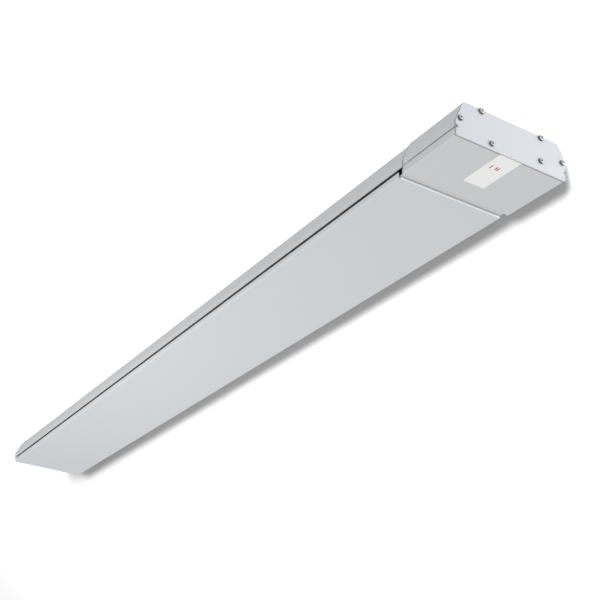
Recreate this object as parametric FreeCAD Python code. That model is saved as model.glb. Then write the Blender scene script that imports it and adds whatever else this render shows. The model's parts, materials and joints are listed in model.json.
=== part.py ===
# Radiant strip heater: a long flat ceiling heater whose underside is the hot panel.
# Origin: centre of the four hanging inserts, on the outer face of the casing's top.
# +X runs along the heater towards its terminal box, +Z is up. All sizes in millimetres.
import FreeCAD, Part
import math
import os

V = FreeCAD.Vector
X_AXIS = V(1, 0, 0)
Y_AXIS = V(0, 1, 0)
Z_AXIS = V(0, 0, 1)

# ---- driving dimensions ---------------------------------------------------
LENGTH = 1810.0            # over both end plates
BOX_LENGTH = 110.9         # terminal box, with its end plate
TOP_HALF = 78.0            # half width of the casing's top face
SIDE_HALF = 89.3           # half width of the casing below its knuckle
KNUCKLE_Z = -30.2          # where the sloping side turns vertical
LIP_Z = -38.8              # lower edge of the casing's sides
SHEET = 1.2                # steel of the casing and cover, aluminium of the panel
HOOD_SHEET = 1.5           # terminal box hood, which laps over the casing
BEND = 0.8                 # inner radius of a folded bend

BOX_FLOOR_Z = -52.5        # underside of the terminal box
COVER_HALF = 90.0
COVER_TOP_Z = -40.2        # leaves a groove under the hood's lip
JOGGLE_Z = -48.1           # underside of the cover's stepped flange
JOGGLE_HALF = 85.4
CHEEK_TOP_Z = -33.0        # the flange's upright cheeks, which close the slot's end
JOGGLE_REACH = 20.0        # how far that flange reaches over the groove and the panel
JOGGLE_SLOPE = 1.2         # run of its sloping step

PANEL_HALF = 87.35
PANEL_Z = -51.3            # underside of the radiant panel
PANEL_TOP_Z = -42.4        # upper edge of its folded sides
PANEL_LIP_Z = -48.7        # upper edge of its short near lip
EXPANSION_GAP = 12.0       # open groove between panel and terminal box
PANEL_BEND = 1.2

END_PLATE = 2.0
NOTCH_R = 3.0              # notch in each side edge of the near end plate
NOTCH_Z = -40.0
VENT_R = 0.9               # tiny hole near the plate's lower corner
VENT_Y = 85.5
VENT_Z = -49.0
GASKET = 2.0               # rubber between the terminal box and its end plate
SEAL_WIDTH = 3.4           # bead where the hood ends on the casing
SEAL_HEIGHT = 0.9
SCREW_HEAD_R = 4.0
TOP_SCREW_HEAD_R = 4.5
SCREW_HEAD_H = 3.2
SCREW_R = 1.45
SCREW_HOLE_R = 1.5
SCREW_LENGTH = 11.0
BOSS_DEPTH = 12.0

ELEMENT_R = 4.0
ELEMENT_LEG_Y = 35.0
ELEMENT_TERMINAL_Z = -36.0
ELEMENT_BEND_R = 30.0
PIN_R = 1.6

INSERT_X = 600.0           # half spacings of the four hanging inserts
INSERT_Y = 50.0
INSERT_BORE_R = 2.5        # M6 thread
INSERT_BODY_R = 4.5
INSERT_DEPTH = 14.0

GLAND_X = 862.0
GLAND_Y = 50.0
GLAND_THREAD_R = 8.0
GLAND_BORE_R = 5.0

LEAD_R = 1.2
POLE_PITCH = 14.0

# ---- places worked out from them -------------------------------------------
NEAR_X = LENGTH / 2.0
FAR_X = -LENGTH / 2.0
PLATE_X = NEAR_X - END_PLATE
SHELL_NEAR_X = PLATE_X - GASKET
SHELL_FAR_X = FAR_X + END_PLATE
BOX_X = NEAR_X - BOX_LENGTH
BULKHEAD_X = BOX_X + 6.0
CASING_NEAR_X = BOX_X + 25.0
PANEL_NEAR_X = BOX_X - EXPANSION_GAP
PANEL_FAR_X = FAR_X + 3.0
PANEL_FLOOR_Z = PANEL_Z + SHEET
ELEMENT_Z = PANEL_FLOOR_Z + ELEMENT_R
ELEMENT_NEAR_X = PANEL_NEAR_X + 3.9

# (y, z) of the end-plate screws; the last number is the head's radius
SIDE_SCREWS = [(-85.0, -26.5, SCREW_HEAD_R), (85.0, -26.5, SCREW_HEAD_R)]
TOP_SCREWS = [(-51.0, -1.9, TOP_SCREW_HEAD_R), (49.0, -1.9, TOP_SCREW_HEAD_R)]
COVER_SCREWS = [(-35.0, -45.0, SCREW_HEAD_R), (47.5, -38.3, SCREW_HEAD_R)]
NEAR_SCREWS = SIDE_SCREWS + TOP_SCREWS + COVER_SCREWS
FAR_SCREWS = SIDE_SCREWS + [(-51.0, -4.0, SCREW_HEAD_R), (51.0, -4.0, SCREW_HEAD_R)]


# ---- helpers ----------------------------------------------------------------
def block(x0, x1, y0, y1, z0, z1):
    return Part.makeBox(x1 - x0, y1 - y0, z1 - z0, V(x0, y0, z0))


def rod(radius, start, end):
    start = V(*start)
    run = V(*end) - start
    return Part.makeCylinder(radius, run.Length, start, run)


def ring(outer, inner, start, end):
    return rod(outer, start, end).cut(rod(inner, start, end))


def hexagon(across_flats, start, height):
    """Upright hexagonal prism standing on the point start."""
    reach = across_flats / math.sqrt(3.0)
    corners = []
    for i in range(7):
        angle = math.radians(60.0 * i)
        corners.append(V(start[0] + reach * math.cos(angle), start[1] + reach * math.sin(angle), start[2]))
    return Part.Face(Part.makePolygon(corners)).extrude(V(0, 0, height))


def union(solids):
    joined = solids[0].multiFuse(solids[1:]) if len(solids) > 1 else solids[0]
    return joined.removeSplitter()


def rounded_edges(points, radii):
    """Straight runs joined by tangent arcs, one radius for each inner point."""
    edges = []
    start = points[0]
    for i in range(1, len(points) - 1):
        corner = points[i]
        back = (points[i - 1] - corner).normalize()
        ahead = (points[i + 1] - corner).normalize()
        half = back.getAngle(ahead) / 2.0
        reach = radii[i - 1] / math.tan(half)
        middle = (back + ahead).normalize() * (radii[i - 1] / math.sin(half) - radii[i - 1])
        arc_start = corner + back * reach
        arc_end = corner + ahead * reach
        edges.append(Part.LineSegment(start, arc_start).toShape())
        edges.append(Part.Arc(arc_start, corner + middle, arc_end).toShape())
        start = arc_end
    edges.append(Part.LineSegment(start, points[-1]).toShape())
    return edges


def along_x(u, v):
    return V(0, u, v)


def along_y(u, v):
    return V(u, 0, v)


def folded_sheet(skin, thickness, bend, plane, start, length):
    """Folded sheet: skin is one face's line, and the metal lies on its left-hand side."""
    inner = []
    skin_radii = []
    inner_radii = []
    for i, (u, v) in enumerate(skin):
        before = skin[max(i - 1, 0)]
        after = skin[min(i + 1, len(skin) - 1)]
        first = FreeCAD.Vector(u - before[0], v - before[1], 0)
        second = FreeCAD.Vector(after[0] - u, after[1] - v, 0)
        first = (first if first.Length else second).normalize()
        second = (second if second.Length else first).normalize()
        left_1 = V(-first.y, first.x, 0)
        left_2 = V(-second.y, second.x, 0)
        shift = (left_1 + left_2) * (thickness / (1.0 + left_1.dot(left_2)))
        inner.append((u + shift.x, v + shift.y))
        if 0 < i < len(skin) - 1:
            turns_left = first.cross(second).z > 0
            skin_radii.append(bend + thickness if turns_left else bend)
            inner_radii.append(bend if turns_left else bend + thickness)
    skin_points = [plane(u, v) for u, v in skin]
    inner_points = [plane(u, v) for u, v in inner]
    edges = rounded_edges(skin_points, skin_radii)
    edges += rounded_edges(inner_points, inner_radii)
    edges.append(Part.LineSegment(skin_points[0], inner_points[0]).toShape())
    edges.append(Part.LineSegment(skin_points[-1], inner_points[-1]).toShape())
    section = Part.Face(Part.Wire(Part.__sortEdges__(edges)))
    direction = X_AXIS if plane is along_x else Y_AXIS
    section.translate(direction * start)
    return section.extrude(direction * length)


def tube(points, radius, bend):
    """Round bar along straight runs and arcs; no arc takes over 0.45 of a run."""
    path = [V(*p) for p in points]
    radii = []
    for i in range(1, len(path) - 1):
        back = path[i - 1] - path[i]
        ahead = path[i + 1] - path[i]
        half = back.getAngle(ahead) / 2.0
        radii.append(min(bend, 0.45 * min(back.Length, ahead.Length) * math.tan(half)))
    spine = Part.Wire(rounded_edges(path, radii))
    section = Part.Wire(Part.makeCircle(radius, path[0], path[1] - path[0]))
    return spine.makePipeShell([section], True, False)


def pan_screw(head_r, towards):
    """Pan-head screw with its head's underside at the origin; towards is +1 or -1 along X."""
    head = rod(head_r, (0, 0, 0), (SCREW_HEAD_H, 0, 0))
    rim = [edge for edge in head.Edges if edge.BoundBox.XMin > SCREW_HEAD_H - 0.01 and edge.Closed]
    head = head.makeFillet(SCREW_HEAD_H * 0.6, rim[:1])
    slot_x = SCREW_HEAD_H - 1.1
    reach = head_r * 0.55
    head = head.cut(block(slot_x, SCREW_HEAD_H + 1, -reach, reach, -0.5, 0.5))
    head = head.cut(block(slot_x, SCREW_HEAD_H + 1, -0.5, 0.5, -reach, reach))
    screw = head.fuse(rod(SCREW_R, (-SCREW_LENGTH, 0, 0), (0, 0, 0)))
    if towards < 0:
        screw.rotate(V(0, 0, 0), Z_AXIS, 180.0)
    return screw


def casing_skin(outset=0.0):
    """Outer line of the casing, from its right lip over the top to its left lip."""
    slope = math.atan2(-KNUCKLE_Z, SIDE_HALF - TOP_HALF)
    side = SIDE_HALF + outset
    top = TOP_HALF + outset * math.tan(slope / 2.0)
    knuckle = KNUCKLE_Z + outset * math.tan((math.pi / 2.0 - slope) / 2.0)
    half = [(side, LIP_Z), (side, knuckle), (top, outset)]
    return half + [(-y, z) for y, z in reversed(half)]


def prism(outline, x0, x1):
    corners = [V(x0, y, z) for y, z in outline]
    return Part.Face(Part.makePolygon(corners + [corners[0]])).extrude(V(x1 - x0, 0, 0))


def mirrored_pair(make):
    return [make(-1), make(1)]


# ---- casing and terminal box -------------------------------------------------
def insert_places():
    return [(x, y) for x in (-INSERT_X, INSERT_X) for y in (-INSERT_Y, INSERT_Y)]


def upper_casing():
    length = CASING_NEAR_X - SHELL_FAR_X
    shell = folded_sheet(casing_skin(), SHEET, BEND, along_x, SHELL_FAR_X, length)
    for x, y in insert_places():
        shell = shell.cut(rod(INSERT_BODY_R, (x, y, -5), (x, y, 5)))
    return shell


def terminal_box_hood():
    skin = casing_skin(HOOD_SHEET)
    hood = folded_sheet(skin, HOOD_SHEET, BEND, along_x, BOX_X, SHELL_NEAR_X - BOX_X)
    hood = hood.cut(rod(GLAND_THREAD_R, (GLAND_X, GLAND_Y, -5), (GLAND_X, GLAND_Y, 5)))
    for x, y in block_screw_places():
        hood = hood.cut(rod(SCREW_HOLE_R, (x, y, -5), (x, y, 5)))
    return hood


def terminal_box_cover():
    skin = [(-COVER_HALF, COVER_TOP_Z), (-COVER_HALF, BOX_FLOOR_Z)]
    skin += [(-y, z) for y, z in reversed(skin)]
    tray = folded_sheet(skin, SHEET, BEND, along_x, BOX_X, SHELL_NEAR_X - BOX_X)
    step_root = BOX_X + 8.0
    step = [(BOX_X - JOGGLE_REACH, JOGGLE_Z), (BOX_X - JOGGLE_SLOPE, JOGGLE_Z), (BOX_X, BOX_FLOOR_Z)]
    step.append((step_root, BOX_FLOOR_Z))
    flange = folded_sheet(step, SHEET, BEND, along_y, -JOGGLE_HALF, 2 * JOGGLE_HALF)
    cut_away = block(BOX_X - 5, step_root, -JOGGLE_HALF, JOGGLE_HALF, BOX_FLOOR_Z - 1, -45.0)
    cheeks = []
    for y in (-JOGGLE_HALF, JOGGLE_HALF - SHEET):
        cheeks.append(block(BOX_X - 9.0, BOX_X - 1.5, y, y + SHEET, JOGGLE_Z, CHEEK_TOP_Z))
    return union([tray.cut(cut_away), flange] + cheeks)


def end_outline():
    upper = casing_skin(HOOD_SHEET)
    return [(COVER_HALF, BOX_FLOOR_Z)] + upper + [(-COVER_HALF, BOX_FLOOR_Z)]


def soften_outline(plate, radius):
    """Round the plate's corners, which are its edges along X."""
    corners = [e for e in plate.Edges if e.BoundBox.XLength > END_PLATE - 0.01 and len(e.Vertexes) == 2]
    corners = [e for e in corners if e.BoundBox.YLength < 0.01 and e.BoundBox.ZLength < 0.01]
    return plate.makeFillet(radius, corners)


def near_end_plate():
    plate = soften_outline(prism(end_outline(), PLATE_X, NEAR_X), 0.8)
    for y, z, _ in NEAR_SCREWS:
        plate = plate.cut(rod(SCREW_R + 0.3, (PLATE_X - 1, y, z), (NEAR_X + 1, y, z)))
    for side in (-1, 1):
        y = side * (COVER_HALF + 0.6)
        plate = plate.cut(rod(NOTCH_R, (PLATE_X - 1, y, NOTCH_Z), (NEAR_X + 1, y, NOTCH_Z)))
    return plate.cut(rod(VENT_R, (PLATE_X - 1, VENT_Y, VENT_Z), (NEAR_X + 1, VENT_Y, VENT_Z)))


def end_gasket():
    """Rubber frame between the box's edge and the end plate."""
    whole = prism(end_outline(), SHELL_NEAR_X, PLATE_X)
    opening = [(80.0, -32.0), (70.0, -8.0), (-70.0, -8.0), (-80.0, -32.0), (-80.0, -47.0), (80.0, -47.0)]
    frame = whole.cut(prism(opening, SHELL_NEAR_X - 1, NEAR_X))
    for y, z, _ in NEAR_SCREWS:
        frame = frame.cut(rod(SCREW_R + 0.1, (SHELL_NEAR_X - 1, y, z), (NEAR_X, y, z)))
    return frame


def hood_seal():
    """Bead round the casing where the hood's edge ends on it."""
    skin = casing_skin(SEAL_HEIGHT)
    return folded_sheet(skin, SEAL_HEIGHT, BEND + 0.4, along_x, BOX_X - SEAL_WIDTH, SEAL_WIDTH)


def far_end_plate():
    plate = prism(casing_skin(), FAR_X, SHELL_FAR_X)
    flange_x = SHELL_FAR_X + 14.0
    inner = SIDE_HALF - SHEET
    for side in (-1, 1):
        y0, y1 = sorted((side * (inner - SHEET), side * inner))
        plate = plate.fuse(block(FAR_X, flange_x, y0, y1, PANEL_TOP_Z + 0.3, KNUCKLE_Z - 1.5))
    plate = plate.removeSplitter()
    for y, z, _ in FAR_SCREWS:
        plate = plate.cut(rod(SCREW_R + 0.3, (FAR_X - 1, y, z), (SHELL_FAR_X + 1, y, z)))
    return plate


def end_screws(places, face_x, towards):
    screws = []
    for y, z, head_r in places:
        screw = pan_screw(head_r, towards)
        screw.translate(V(face_x, y, z))
        screws.append(screw)
    return screws


def screw_bosses(places, plate_x, inward, outline):
    """Tapped blocks welded inside the shell; inward is -1 or +1 along X."""
    bosses = []
    room = prism(outline, FAR_X, NEAR_X)
    x0, x1 = sorted((plate_x, plate_x + inward * BOSS_DEPTH))
    for y, z, _ in places:
        boss = block(x0, x1, y - 5, y + 5, z - 5, z + 5).common(room)
        bosses.append(boss.cut(rod(SCREW_HOLE_R, (x0 - 1, y, z), (x1 + 1, y, z))))
    return bosses


def cover_bosses():
    bosses = []
    for y, z, _ in COVER_SCREWS:
        boss = block(SHELL_NEAR_X - BOSS_DEPTH, SHELL_NEAR_X, y - 5, y + 5, BOX_FLOOR_Z + SHEET, z + 5)
        bosses.append(boss.cut(rod(SCREW_HOLE_R, (SHELL_NEAR_X - 20, y, z), (NEAR_X, y, z))))
    return bosses


def rating_label():
    return block(NEAR_X - 77.0, NEAR_X - 3.0, -18.0, 17.0, BOX_FLOOR_Z - 0.15, BOX_FLOOR_Z)


def bulkhead():
    inner = casing_skin(-SHEET)
    outline = [(y, min(z, 0.0)) for y, z in inner]
    foot_z = BOX_FLOOR_Z + SHEET
    outline = [(SIDE_HALF - SHEET - 0.8, foot_z)] + outline + [(-SIDE_HALF + SHEET + 0.8, foot_z)]
    wall = prism(outline, BULKHEAD_X, BULKHEAD_X + SHEET)
    foot = block(BULKHEAD_X, BULKHEAD_X + 12, -80, 80, foot_z, foot_z + SHEET)
    wall = union([wall, foot])
    for side in (-1, 1):
        place = (BULKHEAD_X - 1, side * ELEMENT_LEG_Y, ELEMENT_TERMINAL_Z)
        wall = wall.cut(rod(4.0, place, (BULKHEAD_X + 3, place[1], place[2])))
    return wall


def bulkhead_bushes():
    def bush(side):
        y = side * ELEMENT_LEG_Y
        z = ELEMENT_TERMINAL_Z
        body = rod(4.0, (BULKHEAD_X - 1.0, y, z), (BULKHEAD_X + 3.2, y, z))
        collar = rod(6.5, (BULKHEAD_X + SHEET, y, z), (BULKHEAD_X + 3.2, y, z))
        bore = rod(PIN_R + 0.5, (BULKHEAD_X - 2, y, z), (BULKHEAD_X + 5, y, z))
        return body.fuse(collar).cut(bore)
    return mirrored_pair(bush)


# ---- inside the casing ---------------------------------------------------------
BLANKET_Z = -29.0
BLANKET_HALF = 70.0
REFLECTOR_HALF = 82.0
REFLECTOR = 0.5
STRAP_XS = [-780.0, -420.0, -60.0, 300.0, 680.0]
HOOK_XS = [-820.0, -500.0, -180.0, 180.0, 500.0, 740.0]
HOOK_WIDTH = 24.0
HOOK_FOOT_Y = 66.0         # inner edge of a hook's foot on the panel
HOOK_WEB_Y = 78.6          # outer face of its upright
HOOK_ARM_Y = 85.0          # tip of the arm that lies on the rail
CLAMP_XS = [-800.0, -560.0, -320.0, -80.0, 160.0, 400.0, 640.0]
RAIL_TOP_Z = -35.8
RAIL_WEB = 2.8             # height of the rail's leg on the casing's side
RAIL_INNER_Y = 80.0
RAIL_NEAR_X = BOX_X - 20.0


def insulation_blanket():
    top_z = -SHEET - 0.1
    blanket = block(SHELL_FAR_X + 14, BULKHEAD_X - 2, -BLANKET_HALF, BLANKET_HALF, BLANKET_Z, top_z)
    upright = [e for e in blanket.Edges if e.BoundBox.XLength > 100]
    blanket = blanket.makeFillet(5.0, upright)
    for x, y in insert_places():
        blanket = blanket.cut(rod(9.0, (x, y, -40), (x, y, 5)))
    return blanket


def reflector_sheet():
    return block(
        SHELL_FAR_X + 14, BULKHEAD_X - 1, -REFLECTOR_HALF, REFLECTOR_HALF, BLANKET_Z - REFLECTOR, BLANKET_Z
    )


def reflector_straps():
    """Flat bars across the casing under the reflector, with ears welded to its sides."""
    straps = []
    wall = SIDE_HALF - SHEET
    top = BLANKET_Z - REFLECTOR
    room = prism(casing_skin(-SHEET), FAR_X, NEAR_X)
    for x in STRAP_XS:
        bar = block(x, x + 18, -wall, wall, top - SHEET, top)
        ears = [block(x, x + 18, y, y + SHEET, -35.0, top) for y in (-wall, wall - SHEET)]
        straps.append(union([bar] + ears).common(room))
    return straps


def side_rail(side):
    """Angle welded inside the casing's side; the panel's hooks slide on its ledge."""
    wall = SIDE_HALF - SHEET
    y0, y1 = sorted((side * (wall - SHEET), side * wall))
    web = block(SHELL_FAR_X + 18, RAIL_NEAR_X, y0, y1, RAIL_TOP_Z - RAIL_WEB, RAIL_TOP_Z)
    l0, l1 = sorted((side * RAIL_INNER_Y, side * (wall - SHEET)))
    ledge = block(SHELL_FAR_X + 18, RAIL_NEAR_X, l0, l1, RAIL_TOP_Z - SHEET, RAIL_TOP_Z)
    return union([web, ledge])


def hanging_inserts():
    inserts = []
    for x, y in insert_places():
        body = rod(INSERT_BODY_R, (x, y, -INSERT_DEPTH), (x, y, 0.0))
        bulge = rod(6.5, (x, y, -SHEET - 3.0), (x, y, -SHEET))
        flange = rod(6.8, (x, y, 0.0), (x, y, 0.8))
        insert = body.fuse([bulge, flange])
        inserts.append(insert.cut(rod(INSERT_BORE_R, (x, y, -20), (x, y, 5))))
    return inserts


# ---- inside the terminal box ------------------------------------------------------
BLOCK_X = 868.0
BLOCK_WIDTH = 20.0
BLOCK_Z = -19.0
POLE_YS = [-20.0 - POLE_PITCH, -20.0, -20.0 + POLE_PITCH]
ENTRY_Z = -12.0


def block_screw_places():
    x = BLOCK_X + BLOCK_WIDTH / 2.0
    return [(x, -20.0 - POLE_PITCH / 2.0), (x, -20.0 + POLE_PITCH / 2.0)]


def terminal_block():
    body = block(BLOCK_X, BLOCK_X + BLOCK_WIDTH, POLE_YS[0] - 7, POLE_YS[-1] + 7, BLOCK_Z, 0.0)
    for y in POLE_YS:
        body = body.cut(rod(2.6, (BLOCK_X - 1, y, ENTRY_Z), (BLOCK_X + BLOCK_WIDTH + 1, y, ENTRY_Z)))
        for x in (BLOCK_X + 5, BLOCK_X + BLOCK_WIDTH - 5):
            body = body.cut(rod(2.2, (x, y, BLOCK_Z - 1), (x, y, ENTRY_Z)))
    for x, y in block_screw_places():
        body = body.cut(rod(1.6, (x, y, BLOCK_Z - 1), (x, y, 1)))
        body = body.cut(rod(3.2, (x, y, BLOCK_Z - 1), (x, y, BLOCK_Z + 3)))
    return body


def terminal_contacts():
    contacts = []
    for y in POLE_YS:
        sleeve = ring(2.5, 1.7, (BLOCK_X + 1, y, ENTRY_Z), (BLOCK_X + BLOCK_WIDTH - 1, y, ENTRY_Z))
        for x in (BLOCK_X + 5, BLOCK_X + BLOCK_WIDTH - 5):
            sleeve = sleeve.cut(rod(1.5, (x, y, ENTRY_Z - 4), (x, y, ENTRY_Z)))
        contacts.append(sleeve)
    return contacts


def terminal_clamp_screws():
    screws = []
    for y in POLE_YS:
        for x in (BLOCK_X + 5, BLOCK_X + BLOCK_WIDTH - 5):
            screw = rod(1.4, (x, y, ENTRY_Z - 6.5), (x, y, ENTRY_Z - 1.3))
            slot = block(x - 2, x + 2, y - 0.3, y + 0.3, ENTRY_Z - 7, ENTRY_Z - 5.8)
            screws.append(screw.cut(slot))
    return screws


def terminal_block_screws():
    screws = []
    for x, y in block_screw_places():
        head = rod(2.9, (x, y, BLOCK_Z + 0.8), (x, y, BLOCK_Z + 3))
        slot = block(x - 4, x + 4, y - 0.4, y + 0.4, BLOCK_Z, BLOCK_Z + 1.8)
        screws.append(head.cut(slot).fuse(rod(1.4, (x, y, BLOCK_Z + 3), (x, y, HOOD_SHEET))))
    return screws


def gland_body():
    at = (GLAND_X, GLAND_Y)
    nut = hexagon(20.0, (at[0], at[1], HOOD_SHEET), 5.0)
    thread = rod(GLAND_THREAD_R - 0.05, (at[0], at[1], -9.0), (at[0], at[1], HOOD_SHEET))
    neck = rod(8.0, (at[0], at[1], HOOD_SHEET + 5.0), (at[0], at[1], HOOD_SHEET + 12.0))
    bore = rod(6.0, (at[0], at[1], -12.0), (at[0], at[1], 30.0))
    return nut.fuse([thread, neck]).cut(bore)


def gland_locknut():
    nut = hexagon(21.0, (GLAND_X, GLAND_Y, -3.2), 3.2)
    return nut.cut(rod(GLAND_THREAD_R, (GLAND_X, GLAND_Y, -5), (GLAND_X, GLAND_Y, 5)))


def gland_seal():
    z0 = HOOD_SHEET + 3.0
    return ring(5.9, GLAND_BORE_R, (GLAND_X, GLAND_Y, z0), (GLAND_X, GLAND_Y, z0 + 11.0))


def gland_cap():
    z0 = HOOD_SHEET + 5.2
    outer = hexagon(19.0, (GLAND_X, GLAND_Y, z0), 8.0)
    dome = Part.makeCone(9.3, 7.4, 5.0, V(GLAND_X, GLAND_Y, z0 + 8.0))
    cap = outer.fuse(dome)
    cap = cap.cut(rod(8.05, (GLAND_X, GLAND_Y, z0 - 1), (GLAND_X, GLAND_Y, z0 + 10.0)))
    return cap.cut(rod(GLAND_BORE_R + 0.3, (GLAND_X, GLAND_Y, z0), (GLAND_X, GLAND_Y, z0 + 20)))


EARTH_X = 826.0
EARTH_Y = -60.0


def earth_stud():
    return rod(2.0, (EARTH_X, EARTH_Y, -15.0), (EARTH_X, EARTH_Y, -SHEET))


def earth_nuts():
    nuts = []
    for z in (-4.6, -9.0):
        nut = hexagon(7.0, (EARTH_X, EARTH_Y, z), 3.2)
        nuts.append(nut.cut(rod(2.0, (EARTH_X, EARTH_Y, -16), (EARTH_X, EARTH_Y, 0))))
    return nuts


def earth_tag():
    z = -5.6
    eye = rod(4.5, (EARTH_X, EARTH_Y, z), (EARTH_X, EARTH_Y, z + 0.8))
    tail = block(EARTH_X, EARTH_X + 10, EARTH_Y - 1.5, EARTH_Y + 1.5, z, z + 0.8)
    barrel = rod(1.7, (EARTH_X + 9, EARTH_Y, z + 0.4), (EARTH_X + 15, EARTH_Y, z + 0.4))
    return union([eye, tail, barrel]).cut(rod(2.0, (EARTH_X, EARTH_Y, -16), (EARTH_X, EARTH_Y, 0)))


CUTOUT_Z = -26.0


def thermal_cutout():
    x = BULKHEAD_X + SHEET
    can = rod(8.0, (x, 0, CUTOUT_Z), (x + 4.0, 0, CUTOUT_Z))
    top = rod(6.6, (x + 4.0, 0, CUTOUT_Z), (x + 9.0, 0, CUTOUT_Z))
    ears = block(x, x + 1.0, -15, 15, CUTOUT_Z - 3.5, CUTOUT_Z + 3.5)
    return union([can, top, ears])


def cutout_tabs():
    x = BULKHEAD_X + SHEET + 9.0
    return [block(x, x + 8.0, y - 0.4, y + 0.4, CUTOUT_Z - 3.0, CUTOUT_Z + 3.0) for y in (-4.0, 4.0)]


TAB_X = BULKHEAD_X + SHEET + 17.0
PIN_END_X = BULKHEAD_X + 32.0


def live_feed_lead():
    route = [(TAB_X, 4, CUTOUT_Z), (TAB_X + 26, 4, CUTOUT_Z), (BLOCK_X - 14, POLE_YS[0], ENTRY_Z)]
    route.append((BLOCK_X, POLE_YS[0], ENTRY_Z))
    return tube(route, LEAD_R, 8.0)


def earth_lead():
    route = [(BLOCK_X, POLE_YS[1], ENTRY_Z), (BLOCK_X - 12, POLE_YS[1], ENTRY_Z)]
    route += [(BLOCK_X - 18, EARTH_Y, -5.2), (EARTH_X + 15, EARTH_Y, -5.2)]
    return tube(route, LEAD_R, 6.0)


def live_lead():
    z = ELEMENT_TERMINAL_Z
    route = [(PIN_END_X + 5, -ELEMENT_LEG_Y, z), (PIN_END_X + 17, -ELEMENT_LEG_Y, z)]
    route += [(PIN_END_X + 17, -4, CUTOUT_Z), (TAB_X, -4, CUTOUT_Z)]
    return tube(route, LEAD_R, 8.0)


def neutral_lead():
    z = ELEMENT_TERMINAL_Z
    route = [(PIN_END_X + 5, ELEMENT_LEG_Y, z), (PIN_END_X + 17, ELEMENT_LEG_Y, z)]
    route += [(BLOCK_X - 14, POLE_YS[2], ENTRY_Z), (BLOCK_X, POLE_YS[2], ENTRY_Z)]
    return tube(route, LEAD_R, 8.0)


# ---- radiant panel and what it carries -----------------------------------------------
def radiant_panel():
    bend_reach = PANEL_BEND + SHEET
    sides = [(-PANEL_HALF, PANEL_TOP_Z), (-PANEL_HALF, PANEL_Z)]
    sides += [(-y, z) for y, z in reversed(sides)]
    start = PANEL_FAR_X + bend_reach
    stop = PANEL_NEAR_X - bend_reach
    tray = folded_sheet(sides, SHEET, PANEL_BEND, along_x, start, stop - start)
    half = PANEL_HALF - bend_reach
    near = [(stop - 5, PANEL_Z), (PANEL_NEAR_X, PANEL_Z), (PANEL_NEAR_X, PANEL_LIP_Z)]
    near_lip = folded_sheet(near, SHEET, PANEL_BEND, along_y, -half, 2 * half)
    far = [(PANEL_FAR_X, PANEL_TOP_Z), (PANEL_FAR_X, PANEL_Z), (start + 5, PANEL_Z)]
    far_flange = folded_sheet(far, SHEET, PANEL_BEND, along_y, -half, 2 * half)
    return union([tray, near_lip, far_flange])


def heating_element():
    """Sheathed U-shaped element, lying on the panel and rising to its terminals."""
    rise = ELEMENT_TERMINAL_Z - ELEMENT_Z
    angle = math.acos(1.0 - rise / (2.0 * ELEMENT_BEND_R))
    reach = ELEMENT_BEND_R * math.tan(angle / 2.0)
    slope_run = rise / math.tan(angle)
    top_x = ELEMENT_NEAR_X - reach - 6.0
    foot_x = top_x - slope_run
    far_x = FAR_X + 90.0
    y = ELEMENT_LEG_Y
    route = [(ELEMENT_NEAR_X, -y, ELEMENT_TERMINAL_Z), (top_x, -y, ELEMENT_TERMINAL_Z)]
    route += [(foot_x, -y, ELEMENT_Z), (far_x, -y, ELEMENT_Z)]
    mirrored = [(px, -py, pz) for px, py, pz in reversed(route)]
    bend = ELEMENT_BEND_R * 0.98
    leg_radii = [bend, bend, y * 0.9]
    path = [V(*p) for p in route + mirrored]
    spine = Part.Wire(rounded_edges(path, leg_radii + list(reversed(leg_radii))))
    section = Part.Wire(Part.makeCircle(ELEMENT_R, path[0], path[1] - path[0]))
    return spine.makePipeShell([section], True, False)


def element_seals():
    def seal(side):
        y = side * ELEMENT_LEG_Y
        z = ELEMENT_TERMINAL_Z
        end = (ELEMENT_NEAR_X + 3.0, y, z)
        return ring(4.6, PIN_R, (ELEMENT_NEAR_X, y, z), end)
    return mirrored_pair(seal)


def element_pins():
    def pin(side):
        y = side * ELEMENT_LEG_Y
        return rod(PIN_R, (ELEMENT_NEAR_X, y, ELEMENT_TERMINAL_Z), (PIN_END_X, y, ELEMENT_TERMINAL_Z))
    return mirrored_pair(pin)


def pin_connectors():
    def connector(side):
        y = side * ELEMENT_LEG_Y
        z = ELEMENT_TERMINAL_Z
        sleeve = rod(2.8, (PIN_END_X - 8, y, z), (PIN_END_X + 5, y, z))
        return sleeve.cut(rod(PIN_R, (PIN_END_X - 9, y, z), (PIN_END_X, y, z)))
    return mirrored_pair(connector)


def element_clamps():
    """Bridge clips that press both legs of the element onto the panel."""
    clamps = []
    top = PANEL_FLOOR_Z + 2 * ELEMENT_R + SHEET
    foot = PANEL_FLOOR_Z + SHEET
    half = [(62.0, foot), (48.0, foot), (44.0, top)]
    skin = half + [(-y, z) for y, z in reversed(half)]
    for x in CLAMP_XS:
        clamp = folded_sheet(skin, SHEET, BEND, along_x, x, 16.0)
        for side in (-1, 1):
            clamp = clamp.cut(rod(2.05, (x + 8, side * 56, foot - 3), (x + 8, side * 56, foot + 3)))
        clamps.append(clamp)
    return clamps


def clamp_studs():
    z = PANEL_FLOOR_Z
    return [rod(2.0, (x + 8, s * 56, z), (x + 8, s * 56, z + 7)) for x in CLAMP_XS for s in (-1, 1)]


def clamp_nuts():
    nuts = []
    z = PANEL_FLOOR_Z + SHEET
    for x in CLAMP_XS:
        for side in (-1, 1):
            nut = hexagon(7.0, (x + 8, side * 56, z), 3.2)
            nuts.append(nut.cut(rod(2.0, (x + 8, side * 56, z - 1), (x + 8, side * 56, z + 8))))
    return nuts


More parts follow.
